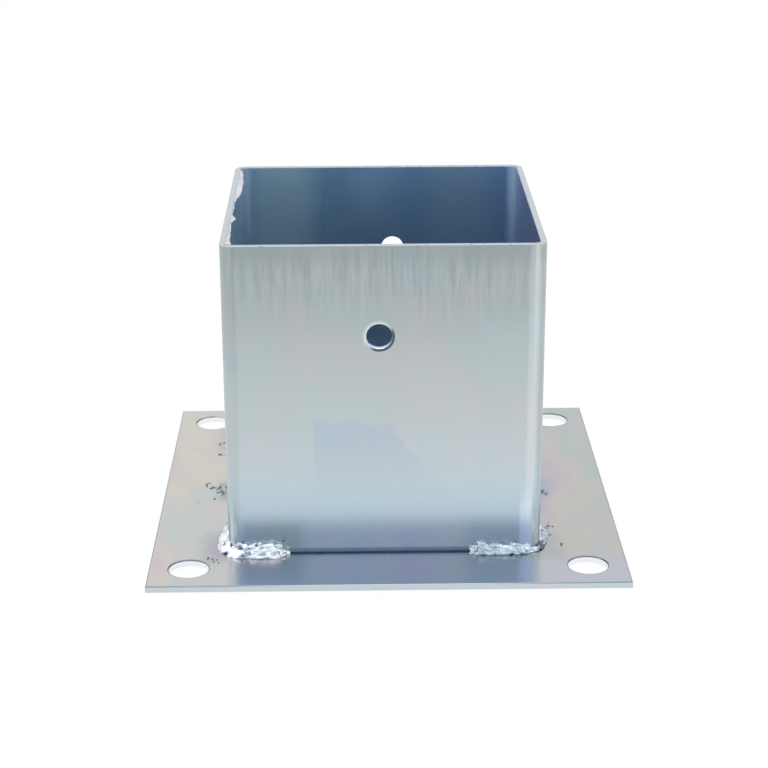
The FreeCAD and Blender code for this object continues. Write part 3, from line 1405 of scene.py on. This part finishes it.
@dataclass
class SleeveFoot:
    """The outline of the sleeve where it stands on the plate, followed from a corner."""

    low: Vector
    high: Vector
    corner: float = 4.0 * MM

    @property
    def bend(self) -> float:
        """Half the length of a rounded corner's arc."""
        return math.pi * self.corner / 4

    def at(self, side: Vector, along: float) -> tuple[Vector, Vector]:
        """Finds a point of the outline near one corner.

        Args:
            side: the corner, as the signs of its x and y.
            along: distance from the middle of the corner, positive along the front or rear wall.

        Returns:
            The point and the outward direction there.
        """
        middle = (self.low + self.high) / 2
        half = (self.high - self.low) / 2
        hub_x = middle.x + side.x * (half.x - self.corner)
        hub_y = middle.y + side.y * (half.y - self.corner)
        turn = (self.bend - min(max(along, -self.bend), self.bend)) / (2 * self.bend) * math.pi / 2
        outward = Vector((side.x * math.sin(turn), side.y * math.cos(turn), 0.0))
        past = max(abs(along) - self.bend, 0.0)
        run = Vector((-side.x, 0.0, 0.0)) if along > 0 else Vector((0.0, -side.y, 0.0))
        return Vector((hub_x, hub_y, self.low.z)) + outward * self.corner + run * past, outward

    def locate(self, side: Vector, point: Vector) -> tuple[float, float]:
        """Finds where a point lies along the outline and how far outside it.

        Args:
            side: the corner, as the signs of its x and y.
            point: the point.

        Returns:
            The distance along the outline and the distance outwards.
        """
        middle = (self.low + self.high) / 2
        half = (self.high - self.low) / 2
        x = (point.x - middle.x) * side.x - (half.x - self.corner)
        y = (point.y - middle.y) * side.y - (half.y - self.corner)
        if x > 0 and y > 0:
            turn = math.atan2(x, y)
            return self.bend - turn / (math.pi / 2) * 2 * self.bend, math.hypot(x, y) - self.corner
        if y - x > 0:
            return self.bend - x, y - self.corner
        return y - self.bend, x - self.corner


@dataclass(frozen=True)
class Layer:
    """One of the drops laid side by side across a bead, as shares of the bead's reach and rise."""

    out: float
    up: float
    wide: float
    tall: float


@dataclass
class WeldBead:
    """Hand-run fillet weld round one corner: overlapping melted drops, creased and pitted.

    The sizes are places along the bead in millimetres, each with the bead's size there.
    """

    node: str
    foot: SleeveFoot
    seed: int
    sizes: tuple[Span, ...] = ((-26.0, 0.60), (0.0, 0.80), (20.0, 0.90))
    rise: float = 3.1 * MM
    reach: float = 4.6 * MM
    voxel: float = 0.23 * MM
    void: Span = (0.0, 0.0)  # the place along the bead and the width of a hollow darkened with painted shade, in millimetres
    finish: Finish = field(default_factory=WeldZinc)
    slot: str = "weld_zinc"

    layers: tuple[Layer, ...] = (
        Layer(0.10, 0.62, 0.34, 0.38), Layer(0.38, 0.34, 0.42, 0.44), Layer(0.70, 0.10, 0.36, 0.28)
    )
    drop_pitch: float = 1.7 * MM
    pitch_spread: Span = (0.75, 1.25)
    end_room: float = 1.0 * MM
    end_taper: float = 4.0 * MM
    end_size: float = 0.62
    drop_shift: float = 0.5 * MM
    drop_spread: Span = (0.80, 1.20)
    drop_length: Span = (1.8 * MM, 3.4 * MM)
    short_share: float = 0.4  # how long a drop stays as the bead shrinks to nothing
    drop_tip: float = 0.45

    crease: float = 0.70 * MM
    lean: float = 0.15
    fold_size: Triple = (6.0 * MM, 2.2 * MM, 4.2 * MM)
    fold_most: float = 2.0
    fold_level: float = 0.55
    fold_dark: float = 0.38
    fold_darkness: float = 1.5
    pit_size: Span = (2.8 * MM, 1.8 * MM)
    pit_level: float = 0.36
    pit_gain: float = 1.8
    pit_depth: float = 1.0 * MM
    pit_darkness: float = 1.6
    rough_size: float = 0.9 * MM
    rough_depth: float = 0.09 * MM
    toe_height: float = 0.7 * MM
    toe_share: float = 0.35
    void_darkness: float = 1.6
    void_ragged: float = 1.5
    void_slope: float = 0.5

    buried: float = 0.7 * MM  # how far the skin reaches into the sleeve's wall
    sunk: float = 0.4 * MM  # how far it reaches into the plate
    below: float = 10 * MM

    def _size(self, along: float) -> float:
        """How large the bead is.

        Args:
            along: distance along it from the middle of the corner.

        Returns:
            Its size there, where 1 is the full rise and reach.
        """
        place = along / MM
        for (start, first), (stop, last) in zip(self.sizes, self.sizes[1:]):
            if place < stop:
                share = max(0.0, (place - start) / (stop - start))
                return first + (last - first) * share
        return self.sizes[-1][1]

    def _side(self) -> Vector:
        """The corner's signs of x and y."""
        return Vector((1.0 if "right" in self.node else -1.0, 1.0 if "rear" in self.node else -1.0))

    def _span(self) -> Span:
        """Where the weld starts on the side wall and stops on the front or rear wall."""
        low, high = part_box(self.node)
        over = self.reach + self.foot.corner - self.foot.bend
        return over - (high.y - low.y), high.x - low.x - over

    def _drops(self) -> bmesh.types.BMesh:
        """Lays melted drops along the corner, one of each layer to a step.

        Returns:
            The overlapping drops.
        """
        chance = random.Random(self.seed)
        side = self._side()
        start, stop = self._span()
        drops = bmesh.new()
        along = start + self.end_room
        while along < stop - self.end_room:
            room = min(along - start, stop - along) / self.end_taper
            size = min(1.0, self.end_size + (1.0 - self.end_size) * room) * self._size(along)
            for layer in self.layers:
                where = along + chance.uniform(-self.drop_shift, self.drop_shift)
                point, outward = self.foot.at(side, where)
                grow = size * chance.uniform(*self.drop_spread)
                centre = point + outward * layer.out * self.reach * size
                centre.z += layer.up * self.rise * grow
                turn = outward.to_track_quat("Y", "Z").to_matrix().to_4x4()
                long = chance.uniform(*self.drop_length) * (self.short_share + (1.0 - self.short_share) * size)
                wide = layer.wide * self.reach * grow
                tall = layer.tall * self.rise * grow
                tip = Matrix.Rotation(chance.uniform(-self.drop_tip, self.drop_tip), 4, "Y")
                place = Matrix.Translation(centre) @ turn @ tip @ Matrix.Diagonal((long, wide, tall, 1.0))
                bmesh.ops.create_icosphere(drops, subdivisions=3, radius=1.0, matrix=place)
            along += self.drop_pitch * chance.uniform(*self.pitch_spread)
        return drops

    def _crease(self, mesh: bmesh.types.BMesh) -> None:
        """Pulls folds and pits into the skin, and marks how much painted shade each point gets for lying deep in the
        folds and pits, and in the void.

        Args:
            mesh: the skin.
        """
        side = self._side()
        depth = mesh.verts.layers.float.new(HOLLOW)
        mesh.normal_update()
        shift = Vector((self.seed * 3.7, self.seed * 1.9, 0.0))
        long, wide, tall = self.fold_size
        pit_long, pit_wide = self.pit_size
        void_place, void_width = self.void
        for vert in mesh.verts:
            along, out = self.foot.locate(side, vert.co)
            up = vert.co.z - self.foot.low.z
            flow = Vector((along / long, (out - up) / wide + self.lean * along / MM, (out + up) / tall))
            fold = noise.ridged_multi_fractal(flow + shift, 1.0, 2.1, 3, 1.0, 1.4)
            fold = min(fold, self.fold_most) / self.fold_most
            spot = noise.noise(Vector((along / pit_long, out / pit_wide, up / pit_wide)) + shift * 2)
            pit = max(0.0, spot - self.pit_level) * self.pit_gain
            rough = noise.noise(vert.co / self.rough_size + shift)
            lift = (fold - self.fold_level) * self.crease - pit * self.pit_depth + rough * self.rough_depth
            toe = min(1.0, max(0.0, up / self.toe_height))
            vert.co += vert.normal * lift * (self.toe_share + (1.0 - self.toe_share) * toe)
            # painted shade in the void
            lost = 0.0
            if void_width:
                off = along / MM - void_place + self.void_ragged * rough - self.void_slope * up / MM
                lost = self.void_darkness - abs(off) / void_width
            # painted shade: darker deep in the folds and pits
            dark = pit * self.pit_darkness + (self.fold_dark - fold) * self.fold_darkness
            vert[depth] = min(1.0, max(0.0, lost, dark))

    def _trimmed(self, mesh: bmesh.types.BMesh) -> bmesh.types.BMesh:
        """Cuts the skin off inside the sleeve's wall and under the plate's upper face.

        Args:
            mesh: the skin; it is freed here.

        Returns:
            The closed bead.
        """
        low = Vector((self.foot.low.x + self.buried, self.foot.low.y + self.buried, -self.below))
        high = Vector((self.foot.high.x - self.buried, self.foot.high.y - self.buried, self.foot.high.z))
        mesh = cut(mesh, block(low, high))
        everything = mesh.verts[:] + mesh.edges[:] + mesh.faces[:]
        floor = (0, 0, self.foot.low.z - self.sunk)
        sliced = bmesh.ops.bisect_plane(mesh, geom=everything, plane_co=floor, plane_no=(0, 0, -1), clear_outer=True)
        rim = [item for item in sliced["geom_cut"] if isinstance(item, bmesh.types.BMEdge)]
        bmesh.ops.holes_fill(mesh, edges=rim)
        return mesh

    def build(self) -> bpy.types.Object:
        """Builds the weld.

        Returns:
            The weld's object.
        """
        mesh = melted(self._drops(), self.voxel)
        self._crease(mesh)
        mesh = self._trimmed(mesh)
        smooth(mesh)
        return new_piece(self.node + "_skin", mesh, self.finish, [self.node])


@dataclass
class TackWeld(WeldBead):
    """Short tack half-way along a side wall, darker from more painted shade in its pits."""

    sizes: tuple[Span, ...] = ((-90.0, 1.0), (90.0, 1.0))
    rise: float = 2.0 * MM
    reach: float = 3.0 * MM
    drop_pitch: float = 1.9 * MM
    # painted shade: more of the tack counts as pits, so more of it is darkened
    finish: Finish = field(default_factory=lambda: WeldZinc(name="tack_zinc", pit_rise=(0.44, 0.54)))

    def _side(self) -> Vector:
        """The front corner of the tack's own wall."""
        return Vector((1.0 if "right" in self.node else -1.0, -1.0))

    def _span(self) -> Span:
        """Where the tack lies on its wall."""
        low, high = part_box(self.node)
        corner = self.foot.low.y + self.foot.corner
        return corner - high.y - self.foot.bend, corner - low.y - self.foot.bend


@dataclass
class Spatter:
    """Grains of spatter thrown on the plate and the sleeve round the welds, listed in millimetres."""

    plate_top: float
    foot: SleeveFoot
    spots: tuple[tuple[float, float, float, int], ...] = (  # x, y, size and number of grains
        (-58.0, 41.0, 0.42, 6), (-58.6, 30.8, 0.42, 5), (-67.9, 36.2, 0.30, 1), (-63.3, -10.7, 0.30, 1),
        (-58.0, -9.2, 0.40, 3), (-55.0, -1.6, 0.50, 16), (-56.9, 0.2, 0.45, 9), (-58.9, 1.9, 0.40, 7),
        (-60.8, 2.9, 0.35, 4), (-55.7, -54.8, 0.45, 3), (-54.4, -56.0, 0.45, 3), (53.9, -5.0, 0.50, 12),
        (55.3, -46.8, 0.42, 2), (52.4, -34.6, 0.45, 6), (51.4, -38.4, 0.45, 5), (53.2, -31.4, 0.40, 4),
        (60.7, -40.2, 0.25, 1), (53.0, 38.0, 0.40, 3),
    )
    wall_spots: tuple[Triple, ...] = (  # x, z and size
        (-33.2, 5.9, 0.50), (-33.8, 7.4, 0.26), (-32.6, 7.0, 0.30), (-45.3, 6.6, 0.45), (-46.2, 5.6, 0.40),
    )
    seed: int = 11
    scatter: float = 1.7
    scatter_back: float = 1.8
    lifted: float = 0.1
    sizes: Span = (0.45, 1.0)
    widths: Span = (0.6, 1.2)
    lengths: Span = (0.8, 2.2)
    flatness: float = 0.55
    most_turn: float = 0.6
    lump_size: float = 0.45 * MM
    lump_push: float = 0.8
    slot: str = "weld_zinc"

    def _grain(self, mesh: bmesh.types.BMesh, chance: random.Random, centre: Vector, radius: float) -> None:
        """Adds one squashed grain.

        Args:
            mesh: the mesh that gains the grain.
            chance: the random draws.
            centre: its middle.
            radius: its size.
        """
        width = radius * chance.uniform(*self.widths)
        length = radius * chance.uniform(*self.lengths)
        scale = Matrix.Diagonal((width, length, radius * self.flatness, 1.0))
        turn = Matrix.Rotation(chance.uniform(-self.most_turn, self.most_turn), 4, "Z")
        place = Matrix.Translation(centre) @ turn @ scale
        made = bmesh.ops.create_icosphere(mesh, subdivisions=2, radius=1.0, matrix=place)
        for vert in made["verts"]:
            push = noise.noise(vert.co / self.lump_size + Vector((0.0, 0.0, 9.0)))
            vert.co += (vert.co - centre) * push * self.lump_push

    def build(self) -> bpy.types.Object:
        """Builds the grains.

        Returns:
            The object that holds them.
        """
        chance = random.Random(self.seed)
        mesh = bmesh.new()
        for x, y, size, count in self.spots:
            for _ in range(count):
                spread = size * self.scatter if count > 1 else 0.0
                spread_back = spread * self.scatter_back
                place = Vector((x + chance.gauss(0.0, spread), y + chance.gauss(0.0, spread_back), 0.0)) * MM
                place.z = self.plate_top + self.lifted * size * MM
                self._grain(mesh, chance, place, size * chance.uniform(*self.sizes) * MM)
        for x, z, size in self.wall_spots:
            self._grain(mesh, chance, Vector((x * MM, self.foot.low.y, z * MM)), size * MM)
        smooth(mesh)
        return new_piece("weld_spatter", mesh, SpatterZinc())


# ---------------------------------------------------------------- rim burr


@dataclass
class RimBurr:
    """Torn lip that the saw left along the inner edge of the left wall."""

    low: Vector
    high: Vector
    wall: float = 2.0 * MM
    end_room: float = 4.0 * MM
    root: float = 0.5 * MM
    thickness: float = 0.34 * MM
    voxel: float = 0.14 * MM
    reach: tuple[float, ...] = (  # in millimetres, at even steps from the front to the rear
        1.6, 1.0, 0.9, 0.7, 0.3, 1.5, 0.2, 0.5, 0.3, 0.4, 1.4, 1.8, 1.7, 1.8, 1.5, 1.2, 0.5,
    )
    least_reach: float = 0.05
    tears: float = 40.0
    tear_depth: float = 0.35
    curls: float = 30.0
    droop: float = 0.45 * MM
    droop_share: float = 0.6
    curl_share: float = 0.5
    below_rim: float = 0.02 * MM
    lump_size: float = 0.6 * MM
    lump_height: float = 0.12 * MM
    topmost: float = 0.01 * MM  # how far under the rim the lumps are held
    hollow_size: float = 1.5 * MM
    hollow_level: float = 0.35
    slot: str = "sleeve_zinc"

    def _reach_at(self, share: float) -> float:
        """How far the ragged lip reaches inwards.

        Args:
            share: the place along it, from 0 at the front to 1 at the rear.

        Returns:
            The reach in metres.
        """
        place = share * (len(self.reach) - 1)
        step = min(int(place), len(self.reach) - 2)
        plain = self.reach[step] + (self.reach[step + 1] - self.reach[step]) * (place - step)
        torn = noise.fractal(Vector((share * self.tears, 3.1, 0.0)), 0.7, 2.3, 4)
        return max(self.least_reach, plain + self.tear_depth * torn) * MM

    def _sheet(self) -> bmesh.types.BMesh:
        """Draws the lip as a thin drooping sheet.

        Returns:
            The closed sheet.
        """
        mesh = bmesh.new()
        bmesh.ops.create_grid(mesh, x_segments=6, y_segments=180, size=1.0)
        face = self.low.x + self.wall
        start = self.low.y + self.end_room
        length = self.high.y - self.low.y - 2 * self.end_room
        top = self.high.z - 0.5 * self.thickness - self.below_rim
        for vert in mesh.verts:
            across = (vert.co.x + 1) / 2
            share = (vert.co.y + 1) / 2
            curl = noise.noise(Vector((share * self.curls, across, 5.0)))
            droop = across * across * self.droop * (self.droop_share + self.curl_share * curl)
            inwards = face - self.root + across * (self.root + self._reach_at(share))
            vert.co = Vector((inwards, start + share * length, top - droop))
        bmesh.ops.recalc_face_normals(mesh, faces=mesh.faces)
        bmesh.ops.solidify(mesh, geom=mesh.faces[:], thickness=self.thickness)
        return mesh

    def build(self) -> bpy.types.Object:
        """Builds the lip.

        Returns:
            The lip's object.
        """
        mesh = melted(self._sheet(), self.voxel)
        depth = mesh.verts.layers.float.new(HOLLOW)
        for vert in mesh.verts:
            lump = self.lump_height * noise.noise(vert.co / self.lump_size)
            vert.co.z = min(vert.co.z + lump, self.high.z - self.topmost)
            vert[depth] = max(0.0, noise.noise(vert.co / self.hollow_size) - self.hollow_level)
        smooth(mesh)
        finish = WeldZinc(
            name="burr_zinc", bright=(0.70, 0.72, 0.77), shade=(0.56, 0.60, 0.66), pit_rise=(0.66, 0.74)
        )
        return new_piece("rim_burr", mesh, finish)


# ---------------------------------------------------------------- studio


@dataclass(frozen=True)
class Lamp:
    """A square soft lamp that points at the middle of the plate."""

    name: str
    place: Triple
    size: float
    power: float

    def build(self) -> None:
        """Hangs the lamp."""
        light = bpy.data.lights.new(self.name, "AREA")
        light.size = self.size
        light.energy = self.power
        lamp = bpy.data.objects.new(self.name, light)
        lamp.location = self.place
        lamp.rotation_euler = (-Vector(self.place)).to_track_quat("-Z", "Y").to_euler()
        bpy.context.scene.collection.objects.link(lamp)


@dataclass
class Studio:
    """White floor, white surroundings with a dim room in front, and soft lamps."""

    lamps: tuple[Lamp, ...] = (
        Lamp("overhead", (0.0, 0.15, 1.1), 1.2, 6.0),
        Lamp("left", (-1.0, -0.1, 0.7), 0.8, 2.5),
        Lamp("right", (1.0, 0.0, 0.8), 0.8, 2.5),
    )
    white: Colour = (1.0, 1.0, 1.0)
    paper: Colour = (0.85, 0.85, 0.85)
    paper_share: float = 0.25
    floor_side: float = 3.0
    far_floor: Colour = (0.42, 0.43, 0.44)
    far_front: Span = (-0.40, -0.20)
    far_width: Span = (0.07, 0.15)
    room: Colour = (0.67, 0.83, 1.15)
    room_front: Span = (-0.75, -0.35)
    room_top: Span = (0.45, 0.85)
    room_width: Span = (0.28, 0.48)
    overhead: Colour = (0.86, 0.93, 1.00)
    overhead_rise: Span = (0.45, 0.9)

    def build(self) -> None:
        """Builds the floor, the world and the lamps."""
        self._floor()
        self._world()
        for lamp in self.lamps:
            lamp.build()

    def _floor(self) -> None:
        """A wide floor: white to the eye and in reflections, dimmer far in front, and it keeps shadows."""
        mesh = bmesh.new()
        bmesh.ops.create_grid(mesh, x_segments=1, y_segments=1, size=self.floor_side / 2)
        data = bpy.data.meshes.new("floor")
        mesh.to_mesh(data)
        mesh.free()
        floor = bpy.data.objects.new("floor", data)
        bpy.context.scene.collection.objects.link(floor)
        made = bpy.data.materials.new("floor_paper")
        made.use_nodes = True
        graph = Graph(made.node_tree)
        x, y, _ = graph.axes(graph.place())
        path = graph.node("LightPath")
        eye = Value(graph, path.outputs["Is Camera Ray"])
        mirror = Value(graph, path.outputs["Is Glossy Ray"])
        paper = graph.value("BsdfDiffuse", inputs={"Color": self.paper})
        white = graph.value("Emission", inputs={"Color": self.white, "Strength": 1.0})
        far = y.fall(*self.far_front) * abs(x).fall(*self.far_width)
        glow = graph.blend(far, self.white, self.far_floor)
        seen = graph.value("Emission", inputs={"Color": glow, "Strength": 1.0})
        to_eye = graph.value("MixShader", inputs={0: self.paper_share, 1: white, 2: paper})
        to_mirror = graph.value("MixShader", inputs={0: self.paper_share, 1: seen, 2: paper})
        plain = graph.value("MixShader", inputs={0: mirror, 1: paper, 2: to_mirror})
        both = graph.value("MixShader", inputs={0: eye, 1: plain, 2: to_eye})
        graph.node("OutputMaterial", inputs={"Surface": both})
        data.materials.append(made)

    def _world(self) -> None:
        """White to the eye; a dim bluish room low in front and white elsewhere in reflections."""
        world = bpy.data.worlds.new("studio")
        bpy.context.scene.world = world
        world.use_nodes = True
        graph = Graph(world.node_tree)
        x, y, z = graph.axes(graph.value("TexCoord", output="Generated"))
        room = y.fall(*self.room_front) * z.fall(*self.room_top) * abs(x).fall(*self.room_width)
        sky = graph.blend(z.rise(*self.overhead_rise), self.white, self.overhead)
        glow = graph.blend(room, sky, self.room)
        eye = Value(graph, graph.node("LightPath").outputs["Is Camera Ray"])
        colour = graph.blend(eye, glow, self.white)
        back = graph.value("Background", inputs={"Color": colour, "Strength": 1.0})
        graph.node("OutputWorld", inputs={"Surface": back})


@dataclass
class Camera:
    """Long lens from the front, a little above; angles are in degrees from level and straight ahead."""

    place: Triple = (-10.33 * MM, -620.41 * MM, 269.32 * MM)
    pitch: float = -20.295
    roll: float = 0.178
    yaw: float = -0.928
    lens: float = 92.29
    sensor: float = 36.0
    nearest: float = 10 * MM

    def build(self) -> None:
        """Makes the camera the scene's own."""
        data = bpy.data.cameras.new("camera")
        data.lens = self.lens
        data.sensor_width = self.sensor
        data.clip_start = self.nearest
        camera = bpy.data.objects.new("camera", data)
        turn = (
            Matrix.Rotation(math.radians(self.yaw), 4, "Z")
            @ Matrix.Rotation(math.radians(self.pitch), 4, "X")
            @ Matrix.Rotation(math.radians(self.roll), 4, "Y")
            @ Matrix.Rotation(math.radians(90), 4, "X")
        )
        camera.matrix_world = Matrix.Translation(self.place) @ turn
        bpy.context.scene.collection.objects.link(camera)
        bpy.context.scene.camera = camera


# ---------------------------------------------------------------- main


FRONT_LEFT = ((-26.0, 0.40), (-16.0, 0.55), (-8.0, 0.75), (0.0, 0.78), (4.0, 1.0), (18.0, 1.08))
FRONT_RIGHT = ((-28.0, 0.40), (-16.0, 0.58), (-8.0, 0.72), (-3.5, 0.45), (1.5, 0.40), (4.5, 0.78), (21.0, 0.90))
FRONT_RIGHT_VOID = (-1.8, 1.8)
FIRST_TACK_SEED = 11


def main() -> None:
    """Builds every piece, the studio and the camera."""
    logging.basicConfig(level=logging.INFO, format="%(message)s")
    bpy.context.scene.view_settings.view_transform = "Standard"
    AnchorPlate(*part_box("base_plate")).build()
    PostSleeve(*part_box("sleeve")).build()
    foot = SleeveFoot(*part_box("sleeve"))
    WeldBead("weld_front_left", foot, 1, FRONT_LEFT).build()
    WeldBead("weld_front_right", foot, 2, FRONT_RIGHT, void=FRONT_RIGHT_VOID).build()
    WeldBead("weld_rear_left", foot, 3).build()
    WeldBead("weld_rear_right", foot, 4).build()
    tacks = sorted(name for name in frame["nodes"] if name.startswith("tack"))
    for seed, node in enumerate(tacks, FIRST_TACK_SEED):
        TackWeld(node, foot, seed).build()
    RimBurr(*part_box("sleeve")).build()
    Spatter(foot.low.z, foot).build()
    Studio().build()
    Camera().build()


if __name__ == "__main__":
    main()
